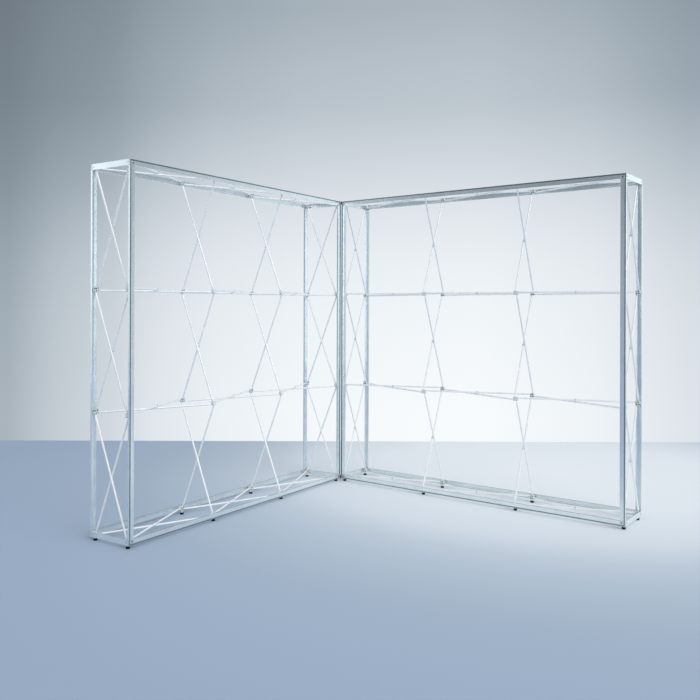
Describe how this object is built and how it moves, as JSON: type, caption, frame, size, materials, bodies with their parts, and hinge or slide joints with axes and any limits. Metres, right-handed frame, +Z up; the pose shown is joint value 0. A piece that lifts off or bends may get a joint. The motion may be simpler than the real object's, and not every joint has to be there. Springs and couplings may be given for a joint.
{
  "type": "pop up display backwall",
  "caption": "Corner display backwall: two straight pop-up scissor-lattice walls with grooved rails, hinged along their inner front corner, on rubber feet.",
  "frame": {"origin": "on the floor, under the middle of the bounding box in plan", "axes": "+Z up, -Y the open front of the V, +X to the right in a view from the front"},
  "size_m": [3.641, 1.9094, 2.308],
  "materials": {
    "rail": "satin anodised",
    "strut": "silver anodised tube",
    "hinge": "black moulded"
  },
  "bodies": {
    "left_wall": {"left_front_top_rail": "rail", "left_front_bottom_rail": "rail", "left_front_inner_post": "rail", "left_front_outer_post": "rail", "left_rear_top_rail": "rail", "left_rear_bottom_rail": "rail", "left_rear_inner_post": "rail", "left_rear_outer_post": "rail", "left_inner_bottom_crossbar": "rail", "left_outer_bottom_crossbar": "rail", "left_inner_top_crossbar": "rail", "left_outer_top_crossbar": "rail", "left_column_1": "strut", "left_column_2": "strut", "left_column_3": "strut", "left_column_4": "strut", "left_scissor_bay1_row1": "strut", "left_scissor_bay1_row2": "strut", "left_scissor_bay1_row3": "strut", "left_scissor_bay1_row4": "strut", "left_scissor_bay2_row1": "strut", "left_scissor_bay2_row2": "strut", "left_scissor_bay2_row3": "strut", "left_scissor_bay2_row4": "strut", "left_scissor_bay3_row1": "strut", "left_scissor_bay3_row2": "strut", "left_scissor_bay3_row3": "strut", "left_scissor_bay3_row4": "strut", "bottom_hinge_left_leaf": "hinge", "top_hinge_left_leaf": "hinge"},
    "right_wall": {"right_front_top_rail": "rail", "right_front_bottom_rail": "rail", "right_front_inner_post": "rail", "right_front_outer_post": "rail", "right_rear_top_rail": "rail", "right_rear_bottom_rail": "rail", "right_rear_inner_post": "rail", "right_rear_outer_post": "rail", "right_inner_bottom_crossbar": "rail", "right_outer_bottom_crossbar": "rail", "right_inner_top_crossbar": "rail", "right_outer_top_crossbar": "rail", "right_column_1": "strut", "right_column_2": "strut", "right_column_3": "strut", "right_column_4": "strut", "right_scissor_bay1_row1": "strut", "right_scissor_bay1_row2": "strut", "right_scissor_bay1_row3": "strut", "right_scissor_bay1_row4": "strut", "right_scissor_bay2_row1": "strut", "right_scissor_bay2_row2": "strut", "right_scissor_bay2_row3": "strut", "right_scissor_bay2_row4": "strut", "right_scissor_bay3_row1": "strut", "right_scissor_bay3_row2": "strut", "right_scissor_bay3_row3": "strut", "right_scissor_bay3_row4": "strut", "bottom_hinge_right_leaf": "hinge", "top_hinge_right_leaf": "hinge"}
  },
  "joints": [
    {"name": "corner_hinge", "type": "hinge", "parent": "left_wall", "child": "right_wall", "pos_m": [0, 0.71594, 0], "axis": [0, 0, 1], "range_deg": [-86.1, 93.9]}
  ]
}
